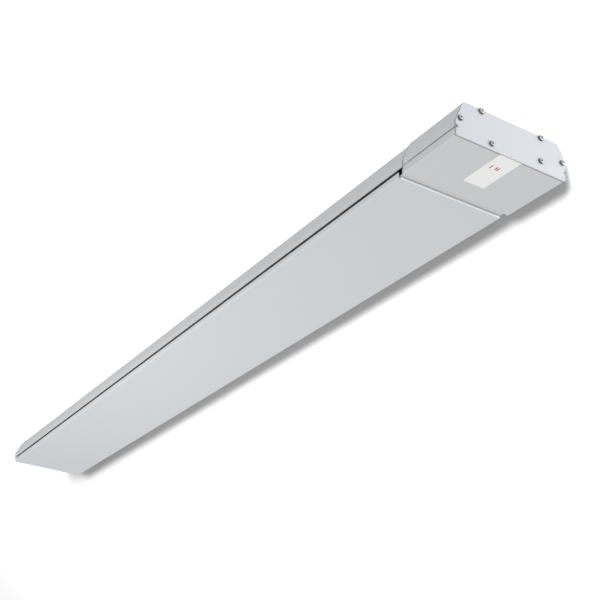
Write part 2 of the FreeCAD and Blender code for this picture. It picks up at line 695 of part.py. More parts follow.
def panel_hooks():
    """Hangers welded to the panel, which carry it on the casing's side rails."""
    hooks = []
    for x in HOOK_XS:
        for side in (-1, 1):
            foot_0, foot_1 = sorted((side * HOOK_FOOT_Y, side * HOOK_WEB_Y))
            web_0, web_1 = sorted((side * (HOOK_WEB_Y - SHEET), side * HOOK_WEB_Y))
            arm_0, arm_1 = sorted((side * (HOOK_WEB_Y - SHEET), side * HOOK_ARM_Y))
            z = PANEL_FLOOR_Z
            arm_z = RAIL_TOP_Z + 0.3
            foot = block(x, x + HOOK_WIDTH, foot_0, foot_1, z, z + SHEET)
            web = block(x, x + HOOK_WIDTH, web_0, web_1, z, arm_z + SHEET)
            arm = block(x, x + HOOK_WIDTH, arm_0, arm_1, arm_z, arm_z + SHEET)
            hooks.append(union([foot, web, arm]))
    return hooks


# ---- write every piece -------------------------------------------------------------------
NODES = {
    "upper_casing": upper_casing(),
    "terminal_box_hood": terminal_box_hood(),
    "terminal_box_cover": terminal_box_cover(),
    "near_end_plate": near_end_plate(),
    "far_end_plate": far_end_plate(),
    "end_gasket": end_gasket(),
    "hood_seal": hood_seal(),
    "near_end_screws": end_screws(NEAR_SCREWS, NEAR_X, 1),
    "far_end_screws": end_screws(FAR_SCREWS, FAR_X, -1),
    "hood_screw_bosses": screw_bosses(SIDE_SCREWS + TOP_SCREWS, SHELL_NEAR_X, -1, casing_skin()),
    "cover_screw_bosses": cover_bosses(),
    "far_screw_bosses": screw_bosses(FAR_SCREWS, SHELL_FAR_X, 1, casing_skin(-SHEET)),
    "rating_label": rating_label(),
    "bulkhead": bulkhead(),
    "bulkhead_bushes": bulkhead_bushes(),
    "insulation_blanket": insulation_blanket(),
    "reflector_sheet": reflector_sheet(),
    "reflector_straps": reflector_straps(),
    "side_rail_left": side_rail(-1),
    "side_rail_right": side_rail(1),
    "hanging_inserts": hanging_inserts(),
    "terminal_block": terminal_block(),
    "terminal_contacts": terminal_contacts(),
    "terminal_clamp_screws": terminal_clamp_screws(),
    "terminal_block_screws": terminal_block_screws(),
    "gland_body": gland_body(),
    "gland_locknut": gland_locknut(),
    "gland_seal": gland_seal(),
    "gland_cap": gland_cap(),
    "earth_stud": earth_stud(),
    "earth_nuts": earth_nuts(),
    "earth_tag": earth_tag(),
    "thermal_cutout": thermal_cutout(),
    "cutout_tabs": cutout_tabs(),
    "live_feed_lead": live_feed_lead(),
    "earth_lead": earth_lead(),
    "live_lead": live_lead(),
    "neutral_lead": neutral_lead(),
    "radiant_panel": radiant_panel(),
    "heating_element": heating_element(),
    "element_seals": element_seals(),
    "element_pins": element_pins(),
    "pin_connectors": pin_connectors(),
    "element_clamps": element_clamps(),
    "clamp_studs": clamp_studs(),
    "clamp_nuts": clamp_nuts(),
    "panel_hooks": panel_hooks(),
}

os.makedirs("parts", exist_ok=True)
for name, shape in NODES.items():
    solid = Part.makeCompound(shape) if isinstance(shape, list) else shape
    solid.exportStep("parts/" + name + ".step")
    print(name, len(solid.Solids), "solids,", round(solid.Volume), "mm3, valid:", solid.isValid())
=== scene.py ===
# %% [markdown]
# # Radiant strip heater
# A radiant strip heater hangs under a ceiling and warms what is below it with a long hot plate.
# The folded sheet-metal parts come ready from the CAD model. This lesson gives each of them its
# finish, and adds what CAD only stands in for: screw heads, the printed label, the wool blanket
# and the wires. Everything is in metres, in the CAD model's own frame.

# %% Load the frame
import json
import math

import bmesh
import bpy
from mathutils import Matrix, Vector


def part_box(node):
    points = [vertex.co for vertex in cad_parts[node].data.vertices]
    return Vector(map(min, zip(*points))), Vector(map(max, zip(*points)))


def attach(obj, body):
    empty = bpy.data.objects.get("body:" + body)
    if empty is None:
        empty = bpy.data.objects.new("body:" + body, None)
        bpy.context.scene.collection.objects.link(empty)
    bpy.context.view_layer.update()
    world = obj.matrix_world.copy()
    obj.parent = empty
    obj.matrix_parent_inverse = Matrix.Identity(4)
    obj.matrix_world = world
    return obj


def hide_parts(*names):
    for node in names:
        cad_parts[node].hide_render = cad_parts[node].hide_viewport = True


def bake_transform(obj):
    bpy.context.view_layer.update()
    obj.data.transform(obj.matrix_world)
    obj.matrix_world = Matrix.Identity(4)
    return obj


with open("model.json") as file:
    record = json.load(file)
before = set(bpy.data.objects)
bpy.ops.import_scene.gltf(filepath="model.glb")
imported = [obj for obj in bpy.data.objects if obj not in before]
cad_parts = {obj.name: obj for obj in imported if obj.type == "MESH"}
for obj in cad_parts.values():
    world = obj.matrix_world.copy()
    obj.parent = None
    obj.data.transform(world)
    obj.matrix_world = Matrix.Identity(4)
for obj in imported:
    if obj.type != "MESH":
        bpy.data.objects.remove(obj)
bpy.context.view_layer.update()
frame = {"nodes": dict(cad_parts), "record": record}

MM = 0.001
scene = bpy.context.scene

# %% [markdown]
# ## Camera
# A strip heater is looked at from the room below it, so the camera stands low, beyond the
# terminal box, and looks up along the heater. The long lens keeps the far end from shrinking
# too fast. The target is a point on the hot plate, and the camera leans over by a few degrees.

# %% Camera
CAMERA_PLACE = Vector((1.7343, -0.7650, -0.8039))
CAMERA_TARGET = Vector((0.3846, -0.0006, -0.0525))
CAMERA_LEAN = math.radians(3.865)
CAMERA_LENS = 62.35

camera_data = bpy.data.cameras.new("camera")
camera_data.lens = CAMERA_LENS
camera = bpy.data.objects.new("camera", camera_data)
scene.collection.objects.link(camera)
line_of_sight = CAMERA_TARGET - CAMERA_PLACE
camera.location = CAMERA_PLACE
camera.rotation_mode = "QUATERNION"
upright = line_of_sight.to_track_quat("-Z", "Y")
camera.rotation_quaternion = upright @ Matrix.Rotation(CAMERA_LEAN, 3, "Z").to_quaternion()
scene.camera = camera
print("camera stands", round(line_of_sight.length, 2), "m from the point it looks at")

# %% [markdown]
# ## Helpers for nodes
# Every finish is a small tree of shader nodes. These helpers keep each tree short to write:
# one adds a node and sets its inputs by name, one joins two sockets, and one starts a material
# with its Principled BSDF.

# %% Node helpers
def add_node(tree, kind, **inputs):
    node = tree.nodes.new(kind)
    for name, value in inputs.items():
        node.inputs[name.replace("_", " ")].default_value = value
    return node


def new_material(name, roughness, metallic=0.0, **shader_inputs):
    material = bpy.data.materials.new(name)
    material.use_nodes = True
    shader = material.node_tree.nodes["Principled BSDF"]
    shader.inputs["Roughness"].default_value = roughness
    shader.inputs["Metallic"].default_value = metallic
    for key, value in shader_inputs.items():
        shader.inputs[key.replace("_", " ")].default_value = value
    return material, material.node_tree, shader


def two_tone(tree, mask, dark, light):
    """Colour that goes from dark to light as the mask goes from 0 to 1."""
    ramp = add_node(tree, "ShaderNodeMix")
    ramp.data_type = "RGBA"
    ramp.inputs["A"].default_value = (*dark, 1.0)
    ramp.inputs["B"].default_value = (*light, 1.0)
    tree.links.new(mask, ramp.inputs["Factor"])
    return ramp.outputs["Result"]


def shade(colour, factor):
    return tuple(channel * factor for channel in colour)


# %% [markdown]
# ## Shared effects
# Three effects turn up on several finishes, so each is one node group, built once:
# `coat_texture` is the tiny orange-peel and grit of sprayed powder, the edge group finds edges,
# where a paler tone is mixed in as a painted highlight, and `drift` is the slow unevenness of
# tone that any large sprayed or rolled sheet shows. Each group puts out only masks and heights.

# %% Group sockets
def start_group(name, inputs, outputs):
    tree = bpy.data.node_groups.new(name, "ShaderNodeTree")
    for label, default in inputs.items():
        socket = tree.interface.new_socket(label, in_out="INPUT", socket_type="NodeSocketFloat")
        socket.default_value = default
    for label in outputs:
        tree.interface.new_socket(label, in_out="OUTPUT", socket_type="NodeSocketFloat")
    start = tree.nodes.new("NodeGroupInput")
    end = tree.nodes.new("NodeGroupOutput")
    return tree, start, end


def math_node(tree, operation, first, second):
    """A Math node whose two inputs are sockets or plain numbers."""
    node = tree.nodes.new("ShaderNodeMath")
    node.operation = operation
    for index, value in enumerate((first, second)):
        if isinstance(value, bpy.types.NodeSocket):
            tree.links.new(value, node.inputs[index])
        else:
            node.inputs[index].default_value = value
    return node.outputs[0]


def noise(tree, vector, scale, detail):
    """Noise from 0 to 1 over the object's own coordinates, in metres."""
    node = add_node(tree, "ShaderNodeTexNoise", Detail=detail)
    tree.links.new(vector, node.inputs["Vector"])
    if isinstance(scale, bpy.types.NodeSocket):
        tree.links.new(scale, node.inputs["Scale"])
    else:
        node.inputs["Scale"].default_value = scale
    return node.outputs["Fac"]


# %% Coat texture
def make_coat_texture():
    tree, start, end = start_group("coat_texture", {"Grain per metre": 900.0}, ["Height", "Speckle"])
    place = add_node(tree, "ShaderNodeTexCoord").outputs["Object"]
    peel = noise(tree, place, start.outputs["Grain per metre"], 2.0)
    fine_scale = math_node(tree, "MULTIPLY", start.outputs["Grain per metre"], 4.0)
    grit = noise(tree, place, fine_scale, 1.0)
    mixed = math_node(tree, "ADD", peel, math_node(tree, "MULTIPLY", grit, 0.5))
    tree.links.new(mixed, end.inputs["Height"])
    tree.links.new(grit, end.inputs["Speckle"])
    return tree


coat_texture = make_coat_texture()


# %% Painted edge highlight
def make_painted_edge_highlight():
    tree, start, end = start_group("painted_edge_highlight", {"Width": 0.0008, "Strength": 1.0}, ["Mask"])
    rounded = add_node(tree, "ShaderNodeBevel")
    tree.links.new(start.outputs["Width"], rounded.inputs["Radius"])
    true_normal = tree.nodes.new("ShaderNodeNewGeometry").outputs["Normal"]
    dot = tree.nodes.new("ShaderNodeVectorMath")
    dot.operation = "DOT_PRODUCT"
    tree.links.new(rounded.outputs["Normal"], dot.inputs[0])
    tree.links.new(true_normal, dot.inputs[1])
    turned = math_node(tree, "SUBTRACT", 1.0, dot.outputs["Value"])
    strong = math_node(tree, "MULTIPLY", turned, 4.0)
    mask = tree.nodes.new("ShaderNodeClamp")
    tree.links.new(math_node(tree, "MULTIPLY", strong, start.outputs["Strength"]), mask.inputs["Value"])
    tree.links.new(mask.outputs[0], end.inputs["Mask"])
    return tree


painted_edge_highlight = make_painted_edge_highlight()


# %% Drift of tone
def make_drift():
    tree, start, end = start_group("drift", {"Patches per metre": 2.0, "Streaks per metre": 90.0}, ["Mask"])
    place = add_node(tree, "ShaderNodeTexCoord").outputs["Object"]
    patches = noise(tree, place, start.outputs["Patches per metre"], 2.0)
    stretch = tree.nodes.new("ShaderNodeMapping")
    stretch.inputs["Scale"].default_value = (0.02, 1.0, 1.0)
    tree.links.new(place, stretch.inputs["Vector"])
    streaks = noise(tree, stretch.outputs[0], start.outputs["Streaks per metre"], 3.0)
    half = math_node(tree, "MULTIPLY", streaks, 0.35)
    mixed = math_node(tree, "ADD", math_node(tree, "MULTIPLY", patches, 0.65), half)
    tree.links.new(mixed, end.inputs["Mask"])
    return tree


drift = make_drift()
print("shared effects:", [group.name for group in (coat_texture, painted_edge_highlight, drift)])


def use_group(tree, group, **inputs):
    node = tree.nodes.new("ShaderNodeGroup")
    node.node_tree = group
    for name, value in inputs.items():
        node.inputs[name.replace("_", " ")].default_value = value
    return node


def add_bump(tree, shader, height, depth, strength=1.0):
    bump = add_node(tree, "ShaderNodeBump", Strength=strength, Distance=depth)
    tree.links.new(height, bump.inputs["Height"])
    tree.links.new(bump.outputs["Normal"], shader.inputs["Normal"])


def roughness_from(tree, shader, mask, low, high):
    spread = add_node(tree, "ShaderNodeMapRange", To_Min=low, To_Max=high)
    tree.links.new(mask, spread.inputs["Value"])
    tree.links.new(spread.outputs["Result"], shader.inputs["Roughness"])


# %% [markdown]
# ## Sheet-metal finishes
# The casing, the box and the end plates are steel with a silver-grey powder coat: satin, with
# fine grit and a painted highlight along the edges. The hot plate is aluminium with a matt coat
# that radiates well, so it shines less and shows long, faint streaks from rolling. One function
# makes all of them, because only the tones and the amounts differ.
#
# A fold catches more light than the flat sheet, so a paler tone is painted on there as a
# highlight. A texture would have to be drawn along each fold. One function needs no drawing: it
# mixes in the paler tone where the surface leans by the right amount. On the hot plate that is
# the fold at each of its ends.

# %% Coated sheet
def coated_sheet(name, tone, roughness, grain, drift_amount, metallic):
    material, tree, shader = new_material(name, roughness, metallic)
    slow = use_group(tree, drift).outputs["Mask"]
    body = two_tone(tree, slow, shade(tone, 1.0 - drift_amount), shade(tone, 1.0 + drift_amount))
    coat = use_group(tree, coat_texture, Grain_per_metre=grain)
    speckled = two_tone(tree, coat.outputs["Speckle"], shade(tone, 0.94), shade(tone, 1.06))
    blend = add_node(tree, "ShaderNodeMix", Factor=0.5)
    blend.data_type = "RGBA"
    tree.links.new(body, blend.inputs["A"])
    tree.links.new(speckled, blend.inputs["B"])
    # Painted highlight: a paler tone is mixed in along the edges.
    edges = use_group(tree, painted_edge_highlight, Width=0.0009, Strength=0.7).outputs["Mask"]
    final = add_node(tree, "ShaderNodeMix")
    final.data_type = "RGBA"
    final.inputs["B"].default_value = (*shade(tone, 1.22), 1.0)
    tree.links.new(blend.outputs["Result"], final.inputs["A"])
    tree.links.new(edges, final.inputs["Factor"])
    tree.links.new(final.outputs["Result"], shader.inputs["Base Color"])
    roughness_from(tree, shader, slow, roughness - 0.05, roughness + 0.05)
    add_bump(tree, shader, coat.outputs["Height"], 0.00006, 0.35)
    return material


def paint_highlight_by_normal(material, axis, low, high, tone, end=None):
    """Mixes in a paler tone, a painted highlight, where the normal's part along an axis is past low (and
    short of end).
    """
    tree = material.node_tree
    shader = tree.nodes["Principled BSDF"]
    body = shader.inputs["Base Color"].links[0].from_socket
    split = tree.nodes.new("ShaderNodeSeparateXYZ")
    tree.links.new(tree.nodes.new("ShaderNodeTexCoord").outputs["Normal"], split.inputs[0])
    facing = math_node(tree, "ABSOLUTE", split.outputs[axis], 0.0)
    mask = add_node(tree, "ShaderNodeMapRange", From_Min=low, From_Max=high)
    tree.links.new(facing, mask.inputs["Value"])
    factor = mask.outputs["Result"]
    if end:
        fade = add_node(tree, "ShaderNodeMapRange", From_Min=end, From_Max=end + 0.08)
        fade.inputs["To Min"].default_value = 1.0
        fade.inputs["To Max"].default_value = 0.0
        tree.links.new(facing, fade.inputs["Value"])
        factor = math_node(tree, "MULTIPLY", factor, fade.outputs["Result"])
    final = add_node(tree, "ShaderNodeMix")
    final.data_type = "RGBA"
    final.inputs["B"].default_value = (*tone, 1.0)
    tree.links.new(body, final.inputs["A"])
    tree.links.new(factor, final.inputs["Factor"])
    tree.links.new(final.outputs["Result"], shader.inputs["Base Color"])


CASING_TONE = (0.60, 0.61, 0.62)
END_TONE = (0.64, 0.66, 0.70)
PANEL_TONE = (0.61, 0.63, 0.65)
finishes = {
    "casing_sheet": coated_sheet("silver_powder_coat", CASING_TONE, 0.48, 900.0, 0.05, 0.15),
    "end_plate_sheet": coated_sheet("pale_powder_coat", END_TONE, 0.45, 900.0, 0.04, 0.10),
    "panel_coating": coated_sheet("hot_plate_coat", PANEL_TONE, 0.58, 1400.0, 0.05, 0.10),
}
# Painted highlight on the fold at each end of the hot plate.
paint_highlight_by_normal(finishes["panel_coating"], "X", 0.15, 0.35, shade(PANEL_TONE, 1.35), end=0.88)
print("coated finishes:", list(finishes))

# %% [markdown]
# ## Bare metals
# Inside the casing the sheet is galvanised, with the faint crystal pattern of zinc. Fittings
# are bright zinc plate, contacts are brass, the foil is polished aluminium, and the element's
# stainless sheath has darkened with heat. The end screws are zinc with a dark tone that paints
# their dark reflections, and only their faces, which lie square to the heater's length, get a
# painted highlight, so the same mask by normal serves them.

# %% Bare metal
def bare_metal(name, tone, roughness, pattern="drift", scale=60.0, edge=0.6):
    material, tree, shader = new_material(name, roughness, 1.0)
    if pattern == "spangle":
        place = add_node(tree, "ShaderNodeTexCoord").outputs["Object"]
        cells = add_node(tree, "ShaderNodeTexVoronoi", Scale=scale)
        tree.links.new(place, cells.inputs["Vector"])
        split = tree.nodes.new("ShaderNodeSeparateColor")
        tree.links.new(cells.outputs["Color"], split.inputs[0])
        mask = split.outputs[0]
    else:
        mask = use_group(tree, drift, Patches_per_metre=scale, Streaks_per_metre=400.0).outputs["Mask"]
    body = two_tone(tree, mask, shade(tone, 0.82), shade(tone, 1.12))
    # Painted highlight: a paler tone is mixed in along the edges.
    edges = use_group(tree, painted_edge_highlight, Width=0.0005, Strength=edge).outputs["Mask"]
    final = add_node(tree, "ShaderNodeMix")
    final.data_type = "RGBA"
    final.inputs["B"].default_value = (*[min(1.0, c * 1.5 + 0.05) for c in tone], 1.0)
    tree.links.new(body, final.inputs["A"])
    tree.links.new(edges, final.inputs["Factor"])
    tree.links.new(final.outputs["Result"], shader.inputs["Base Color"])
    roughness_from(tree, shader, mask, roughness - 0.08, roughness + 0.08)
    return material


finishes["inner_steel"] = bare_metal("galvanised_sheet", (0.40, 0.41, 0.42), 0.45, "spangle", 120.0)
finishes["zinc_fittings"] = bare_metal("bright_zinc", (0.62, 0.63, 0.66), 0.30)
# Painted reflection: the dark tone and the pale faces paint the dark and bright reflections on the zinc
# heads.
finishes["dark_screws"] = bare_metal("zinc_with_painted_reflection", (0.17, 0.17, 0.18), 0.32, edge=0.9)
paint_highlight_by_normal(finishes["dark_screws"], "X", 0.78, 0.95, (0.74, 0.74, 0.77))
finishes["brass_contacts"] = bare_metal("plain_brass", (0.72, 0.50, 0.22), 0.30)
finishes["reflector"] = bare_metal("polished_foil", (0.80, 0.80, 0.82), 0.18, edge=0.0)
finishes["element_sheath"] = bare_metal("heat_darkened_sheath", (0.26, 0.22, 0.19), 0.42, scale=25.0)
print("bare metals:", len(finishes) - 3)

# %% [markdown]
# ## Ceramic, plastic, rubber and print
# The terminal block and the bushes are unglazed ceramic, which is matt and slightly pitted. The
# gland is black nylon, the cut-out is brown phenolic, and the wires have silicone sleeves. The
# label is a white film with red ink. All are plain coloured solids, so one function with a tone,
# a gloss and a grain serves them.

# %% Moulded
def moulded(name, tone, roughness, grain=1500.0, depth=0.00004, contrast=0.06, **shader_inputs):
    material, tree, shader = new_material(name, roughness, 0.0, **shader_inputs)
    coat = use_group(tree, coat_texture, Grain_per_metre=grain)
    slow = use_group(tree, drift, Patches_per_metre=30.0).outputs["Mask"]
    body = two_tone(tree, slow, shade(tone, 1.0 - contrast), shade(tone, 1.0 + contrast))
    tree.links.new(body, shader.inputs["Base Color"])
    roughness_from(tree, shader, coat.outputs["Speckle"], roughness - 0.06, roughness + 0.06)
    add_bump(tree, shader, coat.outputs["Height"], depth, 0.5)
    return material


finishes["ceramic"] = moulded("unglazed_ceramic", (0.80, 0.77, 0.70), 0.62, 1200.0, 0.0001, 0.04)
finishes["gland_plastic"] = moulded("black_nylon", (0.035, 0.035, 0.038), 0.42)
# The seal rubbers are real, and their dark tones also paint the shade in the thin seams at the hood's edge
# and behind the end plate.
finishes["seal_rubber"] = moulded("seal_rubber", (0.02, 0.02, 0.02), 0.70)
finishes["grey_rubber"] = moulded("grey_rubber", (0.30, 0.30, 0.31), 0.75)
finishes["cutout_plastic"] = moulded("brown_phenolic", (0.09, 0.05, 0.03), 0.28)
finishes["lead_sleeve"] = moulded("brown_sleeve", (0.20, 0.09, 0.05), 0.50)
finishes["neutral_sleeve"] = moulded("blue_sleeve", (0.04, 0.10, 0.30), 0.50)
finishes["earth_sleeve"] = moulded("green_sleeve", (0.08, 0.28, 0.06), 0.50)
finishes["label_film"] = moulded("label_film", (0.86, 0.86, 0.85), 0.40, 700.0, 0.00002, 0.02)
finishes["red_ink"] = moulded("red_ink", (0.42, 0.03, 0.02), 0.45)
print("moulded finishes ready")

# %% [markdown]
# ## Wool
# Mineral wool is matt and fibrous, and its fibres lie more along the blanket than across it. The
# noise is stretched along X for that, and the same noise sets the colour and the bump.


# %% Mineral wool
def mineral_wool():
    material, tree, shader = new_material("mineral_wool", 0.95, 0.0, Sheen_Weight=0.3)
    place = add_node(tree, "ShaderNodeTexCoord").outputs["Object"]
    stretch = tree.nodes.new("ShaderNodeMapping")
    stretch.inputs["Scale"].default_value = (0.25, 1.0, 1.0)
    tree.links.new(place, stretch.inputs["Vector"])
    fibres = noise(tree, stretch.outputs[0], 900.0, 4.0)
    colour = two_tone(tree, fibres, (0.36, 0.32, 0.20), (0.66, 0.60, 0.44))
    tree.links.new(colour, shader.inputs["Base Color"])
    add_bump(tree, shader, fibres, 0.001, 0.9)
    return material


finishes["mineral_wool"] = mineral_wool()
print("finishes:", len(finishes))

# %% [markdown]
# ## Put the finishes on the CAD parts
# Each CAD part names its material slot in the record, so a loop is enough. The CAD model already
# has its bends, so nothing is done to the shapes: the paler edges are a painted highlight from
# the edge group.

# %% Assign finishes
slot_of = {part["node"]: part["material_slot"] for part in frame["record"]["subparts"]}
for node_name, cad_part in frame["nodes"].items():
    cad_part.data.materials.clear()
    cad_part.data.materials.append(finishes[slot_of[node_name]])
print("finished", len(slot_of), "CAD parts")

# %% [markdown]
# ## Mesh helpers
# New pieces are built with bmesh and linked to the scene by one helper, which also hangs the
# piece on the body that carries it, hides the CAD nodes it stands for and gives it the finish
# of a material slot.

# %% Add a piece
def add_piece(name, mesh, finish, body, stands_for=()):
    mesh.materials.clear()
    mesh.materials.append(finishes[finish])
    piece = bpy.data.objects.new(name, mesh)
    scene.collection.objects.link(piece)
    if body:
        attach(piece, body)
    if stands_for:
        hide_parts(*stands_for)
    return piece


def smooth_by_angle(shape, degrees=35.0):
    limit = math.radians(degrees)
    for face in shape.faces:
        face.smooth = True
    for edge in shape.edges:
        if len(edge.link_faces) == 2 and edge.calc_face_angle(0.0) > limit:
            edge.smooth = False


def finish_mesh(shape, name):
    bmesh.ops.recalc_face_normals(shape, faces=shape.faces[:])
    smooth_by_angle(shape)
    mesh = bpy.data.meshes.new(name)
    shape.to_mesh(mesh)
    shape.free()
    return mesh


def lathe(shape, profile, segments=48):
    """Turns (along X, radius) points round the X axis; the ends are closed where radius is 0."""
    rings = []
    for along, radius in profile:
        if radius == 0.0:
            rings.append([shape.verts.new((along, 0.0, 0.0))])
            continue
        turn = [2.0 * math.pi * i / segments for i in range(segments)]
        rings.append([shape.verts.new((along, radius * math.cos(a), radius * math.sin(a))) for a in turn])
    for first, second in zip(rings, rings[1:]):
        for i in range(segments):
            j = (i + 1) % segments
            corners = [first[i % len(first)], first[j % len(first)]]
            corners += [second[j % len(second)], second[i % len(second)]]
            shape.faces.new(list(dict.fromkeys(corners)))


# %% [markdown]
# ## End-plate screws
# Six pan-head screws hold the end plate at the terminal box and four the one at the far end.
# A real pan head has a low domed face, a rolled shoulder and a cross recess that tapers as it
# goes in. CAD has them as plain discs with slots. Here one head is turned on a lathe, a tapered
# cross is cut out of it with a Boolean, and copies go where the CAD screws are: the middle of
# each loose part of the CAD mesh is its place, so no place is written down twice.

# %% Screw mesh
HEAD_HEIGHT = 3.2 * MM
RECESS_DEPTH = 1.9 * MM
RECESS_WIDTH = 1.24 * MM
RECESS_TAPER = 0.55  # width at the bottom of the recess over width at the top
SHANK_RADIUS = 1.45 * MM
SHANK_LENGTH = 11.0 * MM
FIRST_TURN = 17.0  # degrees; no two crosses come to rest at the same angle
TURN_STEP = 41.0


def cross_cutter(head_radius):
    shape = bmesh.new()
    arm = head_radius * 0.62
    width = RECESS_WIDTH / 2.0
    top = HEAD_HEIGHT + 0.5 * MM
    bottom = HEAD_HEIGHT - RECESS_DEPTH
    for long_y, long_z in ((arm, width), (width, arm)):
        upper = [(top, sy * long_y, sz * long_z) for sy, sz in ((-1, -1), (1, -1), (1, 1), (-1, 1))]
        lower = [(bottom, y * RECESS_TAPER, z * RECESS_TAPER) for _, y, z in upper]
        ring = [shape.verts.new(place) for place in upper + lower]
        shape.faces.new(ring[:4])
        shape.faces.new(ring[4:])
        for i in range(4):
            j = (i + 1) % 4
            shape.faces.new((ring[i], ring[j], ring[4 + j], ring[4 + i]))
    return finish_mesh(shape, "cross_cutter")


def pan_head_screw(head_radius):
    """Screw along X: the head's underside is at x = 0 and its shank goes to -X."""
    shape = bmesh.new()
    r, h = head_radius, HEAD_HEIGHT
    dome = [(h - 0.10 * MM, r * 0.50), (h - 0.28 * MM, r * 0.68), (h - 0.65 * MM, r * 0.84)]
    shoulder = [(h * 0.55, r * 0.955), (h * 0.34, r * 0.995), (h * 0.10, r), (0.0, r * 0.96)]
    outline = [(h, 0.0), (h - 0.02 * MM, r * 0.28)] + dome + shoulder
    outline += [(0.0, SHANK_RADIUS), (-SHANK_LENGTH + 1.5 * MM, SHANK_RADIUS)]
    outline += [(-SHANK_LENGTH, 0.5 * MM), (-SHANK_LENGTH, 0.0)]
    lathe(shape, outline)
    blank = bpy.data.objects.new("screw_blank", finish_mesh(shape, "screw_blank"))
    cutter = bpy.data.objects.new("screw_cutter", cross_cutter(head_radius))
    for helper in (blank, cutter):
        scene.collection.objects.link(helper)
    cut = blank.modifiers.new("recess", "BOOLEAN")
    cut.operation = "DIFFERENCE"
    cut.use_self = True
    cut.object = cutter
    graph = bpy.context.evaluated_depsgraph_get()
    mesh = bpy.data.meshes.new_from_object(blank.evaluated_get(graph))
    for helper in (blank, cutter):
        bpy.data.objects.remove(helper)
    return mesh


# %% Loose parts of a CAD node
def loose_parts(node_name):
    """(lowest, highest) corner of each separate solid in a CAD node's mesh."""
    shape = bmesh.new()
    shape.from_mesh(frame["nodes"][node_name].data)
    bmesh.ops.remove_doubles(shape, verts=shape.verts[:], dist=1e-6)
    left = set(shape.verts)
    boxes = []
    while left:
        front = [left.pop()]
        island = list(front)
        while front:
            for edge in front.pop().link_edges:
                for vert in edge.verts:
                    if vert in left:
                        left.remove(vert)
                        front.append(vert)
                        island.append(vert)
        low = Vector([min(vert.co[axis] for vert in island) for axis in range(3)])
        high = Vector([max(vert.co[axis] for vert in island) for axis in range(3)])
        boxes.append((low, high))
    shape.free()
    return sorted(boxes, key=lambda box: tuple(box[0]))


# %% Place the screws
def place_screws(node_name, towards):
    """A turned screw in place of each screw of a CAD node; its head faces +X or -X."""
    joined = bmesh.new()
    boxes = loose_parts(node_name)
    for number, (low, high) in enumerate(boxes):
        middle = (low + high) / 2.0
        radius = (high.y - low.y) / 2.0
        mesh = pan_head_screw(radius)
        turned = Matrix.Rotation(math.radians(FIRST_TURN + TURN_STEP * number), 4, "X")
        facing = Matrix.Rotation(0.0 if towards > 0 else math.pi, 4, "Z")
        head_foot = high.x - HEAD_HEIGHT if towards > 0 else low.x + HEAD_HEIGHT
        mesh.transform(Matrix.Translation((head_foot, middle.y, middle.z)) @ facing @ turned)
        joined.from_mesh(mesh)
    mesh = bpy.data.meshes.new(node_name)
    joined.to_mesh(mesh)
    joined.free()
    return add_piece("pan_" + node_name, mesh, "dark_screws", "housing", [node_name]), len(boxes)


for node_name, towards in (("near_end_screws", 1), ("far_end_screws", -1)):
    piece, count = place_screws(node_name, towards)
    print(piece.name, "holds", count, "screws")

# %% [markdown]
# ## Rating label
# The label is a thin film with rounded corners, and its print is three plain red bars with no
# lettering. A picture on the film could carry them too. Here each bar is a very thin film of ink
# in its own right, so it stays sharp on any view.

# %% Label
def flat_film(shape, centre, length, width, corner, bottom, top):
    """Rounded plate between two heights; length runs along X and width along Y."""
    outline = []
    for quarter, (sx, sy) in enumerate(((1, 1), (-1, 1), (-1, -1), (1, -1))):
        for step in range(7):
            angle = math.pi / 2.0 * (quarter + step / 6.0)
            x = sx * (length / 2.0 - corner) + corner * math.cos(angle)
            y = sy * (width / 2.0 - corner) + corner * math.sin(angle)
            outline.append((x, y))
    rings = []
    for height, grow in ((bottom, 0.985), (bottom + (top - bottom) * 0.4, 1.0), (top, 1.0)):
        places = [(centre[0] + x * grow, centre[1] + y * grow, height) for x, y in outline]
        rings.append([shape.verts.new(place) for place in places])
    for first, second in zip(rings, rings[1:]):
        for i in range(len(outline)):
            j = (i + 1) % len(outline)
            shape.faces.new((first[i], first[j], second[j], second[i]))
    shape.faces.new(rings[0])
    shape.faces.new(rings[-1])


label_low, label_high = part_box("rating_label")
label_centre = (label_low + label_high) / 2.0
label_length = label_high.x - label_low.x
label_width = label_high.y - label_low.y
film = bmesh.new()
flat_film(film, label_centre, label_length, label_width, 1.0 * MM, label_low.z, label_high.z)
add_piece("label_sheet", finish_mesh(film, "label_sheet"), "label_film", "housing", ["rating_label"])

INK_DEPTH = 0.02 * MM
# Each bar in millimetres: from the label's end, from its middle line, length, width.
INK_BARS = [(-27.9, -8.8, 8.0, 1.8), (-27.5, -0.8, 7.0, 2.0), (-27.5, 2.6, 7.0, 2.0)]
ink = bmesh.new()
for from_end, across, length, width in INK_BARS:
    place = (label_high.x + from_end * MM, label_centre.y + across * MM)
    top = label_low.z + INK_DEPTH
    flat_film(ink, place, length * MM, width * MM, 0.5 * MM, label_low.z - INK_DEPTH, top)
ink_piece = bpy.data.objects.new("label_print", finish_mesh(ink, "label_print"))
scene.collection.objects.link(ink_piece)
ink_piece.data.materials.append(finishes["red_ink"])
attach(ink_piece, "housing")
print("label is", round(label_length / MM), "by", round(label_width / MM), "mm")

# %% [markdown]
# ## Wires
# Four sleeved wires run in the terminal box. Each wire is a smooth NURBS curve with a round
# section, turned into a mesh. It follows the route of its CAD solid with rounder bends. The
# curve's end caps come as loose discs, so their rims are merged with the tube, which closes it.

# %% Wire routes
WIRE_RADIUS = 1.2 * MM
CONNECTOR_RADIUS = 2.8 * MM
ENTRY_DROP = 12.0 * MM  # from the block's top down to where its wires go in
POLE_PITCH = 14.0 * MM
TAG_HEIGHT = 2.1 * MM
pins_low, pins_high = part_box("pin_connectors")
tabs_low, tabs_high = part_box("cutout_tabs")
block_low, block_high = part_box("terminal_block")
tag_low, tag_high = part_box("earth_tag")

